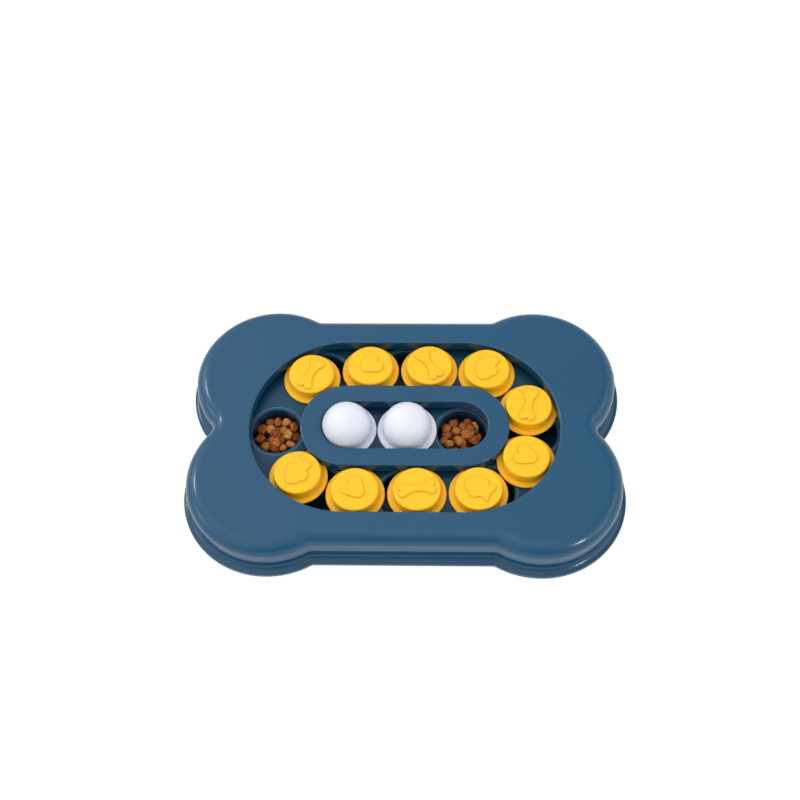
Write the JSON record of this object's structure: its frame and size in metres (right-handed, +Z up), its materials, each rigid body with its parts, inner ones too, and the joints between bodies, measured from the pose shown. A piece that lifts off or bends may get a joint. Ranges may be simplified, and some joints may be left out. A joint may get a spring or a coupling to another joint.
{
  "type": "dog puzzle feeder toy",
  "caption": "Bone-shaped slider puzzle feeder with food wells, round covers with raised icons on a racetrack groove, and domed covers in a middle slot.",
  "frame": {"origin": "on the floor under the middle of the body, at the bottom of the rubber feet", "axes": "+X along the long side, +Y to the back, +Z up"},
  "size_m": [0.315, 0.2076, 0.0453],
  "materials": {
    "body_blue": "injection-moulded ABS, satin gloss, slate blue",
    "disc_yellow": "injection-moulded ABS, satin, warm yellow",
    "dome_white": "injection-moulded ABS, high gloss, cool white",
    "screw_steel": "zinc-plated self-tapping screw",
    "foot_rubber": "moulded black rubber, matte"
  },
  "bodies": {
    "feeder_body": {"base_tray": "body_blue", "tray_deck": "body_blue", "deck_ribs": "body_blue", "food_cup_01": "body_blue", "food_cup_02": "body_blue", "food_cup_03": "body_blue", "food_cup_04": "body_blue", "food_cup_05": "body_blue", "food_cup_06": "body_blue", "food_cup_07": "body_blue", "food_cup_08": "body_blue", "food_cup_09": "body_blue", "food_cup_10": "body_blue", "food_cup_11": "body_blue", "top_cover": "body_blue", "center_island": "body_blue", "cover_screws": "screw_steel", "island_screws": "screw_steel", "rubber_foot_1": "foot_rubber", "rubber_foot_2": "foot_rubber", "rubber_foot_3": "foot_rubber", "rubber_foot_4": "foot_rubber"},
    "disc_01": {"disc_01": "disc_yellow"},
    "disc_02": {"disc_02": "disc_yellow"},
    "disc_03": {"disc_03": "disc_yellow"},
    "disc_04": {"disc_04": "disc_yellow"},
    "disc_05": {"disc_05": "disc_yellow"},
    "disc_06": {"disc_06": "disc_yellow"},
    "disc_07": {"disc_07": "disc_yellow"},
    "disc_08": {"disc_08": "disc_yellow"},
    "disc_09": {"disc_09": "disc_yellow"},
    "disc_10": {"disc_10": "disc_yellow"},
    "dome_01": {"dome_01": "dome_white"},
    "dome_02": {"dome_02": "dome_white"}
  },
  "joints": [
    {"name": "disc_01_track", "type": "hinge", "parent": "feeder_body", "child": "disc_01", "pos_m": [-0.0415, 0, 0.0224], "axis": [0, 0, 1], "range_deg": [0, 56.62]},
    {"name": "disc_02_track", "type": "hinge", "parent": "feeder_body", "child": "disc_02", "pos_m": [-0.03635, -0.01607, 0.0224], "axis": [0, 0, 1], "range_deg": [0, 42.3]},
    {"name": "disc_03_track", "type": "slide", "parent": "feeder_body", "child": "disc_03", "axis": [-1, 0, 0], "range_m": [0, 0.0501]},
    {"name": "disc_04_track", "type": "hinge", "parent": "feeder_body", "child": "disc_04", "pos_m": [0.02734, -0.11073, 0.0224], "axis": [0, 0, 1], "range_deg": [0, 17.54]},
    {"name": "disc_05_track", "type": "hinge", "parent": "feeder_body", "child": "disc_05", "pos_m": [0.0415, 0, 0.0224], "axis": [0, 0, 1], "range_deg": [0, 56.63]},
    {"name": "disc_06_track", "type": "hinge", "parent": "feeder_body", "child": "disc_06", "pos_m": [0.0415, 0, 0.0224], "axis": [0, 0, 1], "range_deg": [0, 56.63]},
    {"name": "disc_07_track", "type": "hinge", "parent": "feeder_body", "child": "disc_07", "pos_m": [0.0415, 0, 0.0224], "axis": [0, 0, 1], "range_deg": [0, 56.63]},
    {"name": "disc_08_track", "type": "hinge", "parent": "feeder_body", "child": "disc_08", "pos_m": [0.02662, 0.12836, 0.0224], "axis": [0, 0, 1], "range_deg": [0, 15.82]},
    {"name": "disc_09_track", "type": "slide", "parent": "feeder_body", "child": "disc_09", "axis": [1, 0, 0], "range_m": [0, 0.0501]},
    {"name": "disc_10_track", "type": "hinge", "parent": "feeder_body", "child": "disc_10", "pos_m": [-0.03845, 0.00334, 0.0224], "axis": [0, 0, 1], "range_deg": [0, 52.28]},
    {"name": "dome_02_slot", "type": "slide", "parent": "feeder_body", "child": "dome_02", "axis": [1, 0, 0], "range_m": [0, 0.039]},
    {"name": "dome_01_slot", "type": "slide", "parent": "feeder_body", "child": "dome_01", "axis": [1, 0, 0], "range_m": [0, 0.0391]}
  ],
  "couplings": [
    {"joint": "disc_02_track", "follows": "disc_01_track", "ratio": 0.74697},
    {"joint": "disc_03_track", "follows": "disc_01_track", "m_per_rad": 0.0506},
    {"joint": "disc_04_track", "follows": "disc_01_track", "ratio": 0.30955},
    {"joint": "disc_05_track", "follows": "disc_01_track", "ratio": 1},
    {"joint": "disc_06_track", "follows": "disc_01_track", "ratio": 1},
    {"joint": "disc_07_track", "follows": "disc_01_track", "ratio": 1},
    {"joint": "disc_08_track", "follows": "disc_01_track", "ratio": 0.27934},
    {"joint": "disc_09_track", "follows": "disc_01_track", "m_per_rad": 0.0506},
    {"joint": "disc_10_track", "follows": "disc_01_track", "ratio": 0.92319},
    {"joint": "dome_01_slot", "follows": "dome_02_slot", "ratio": 1}
  ]
}
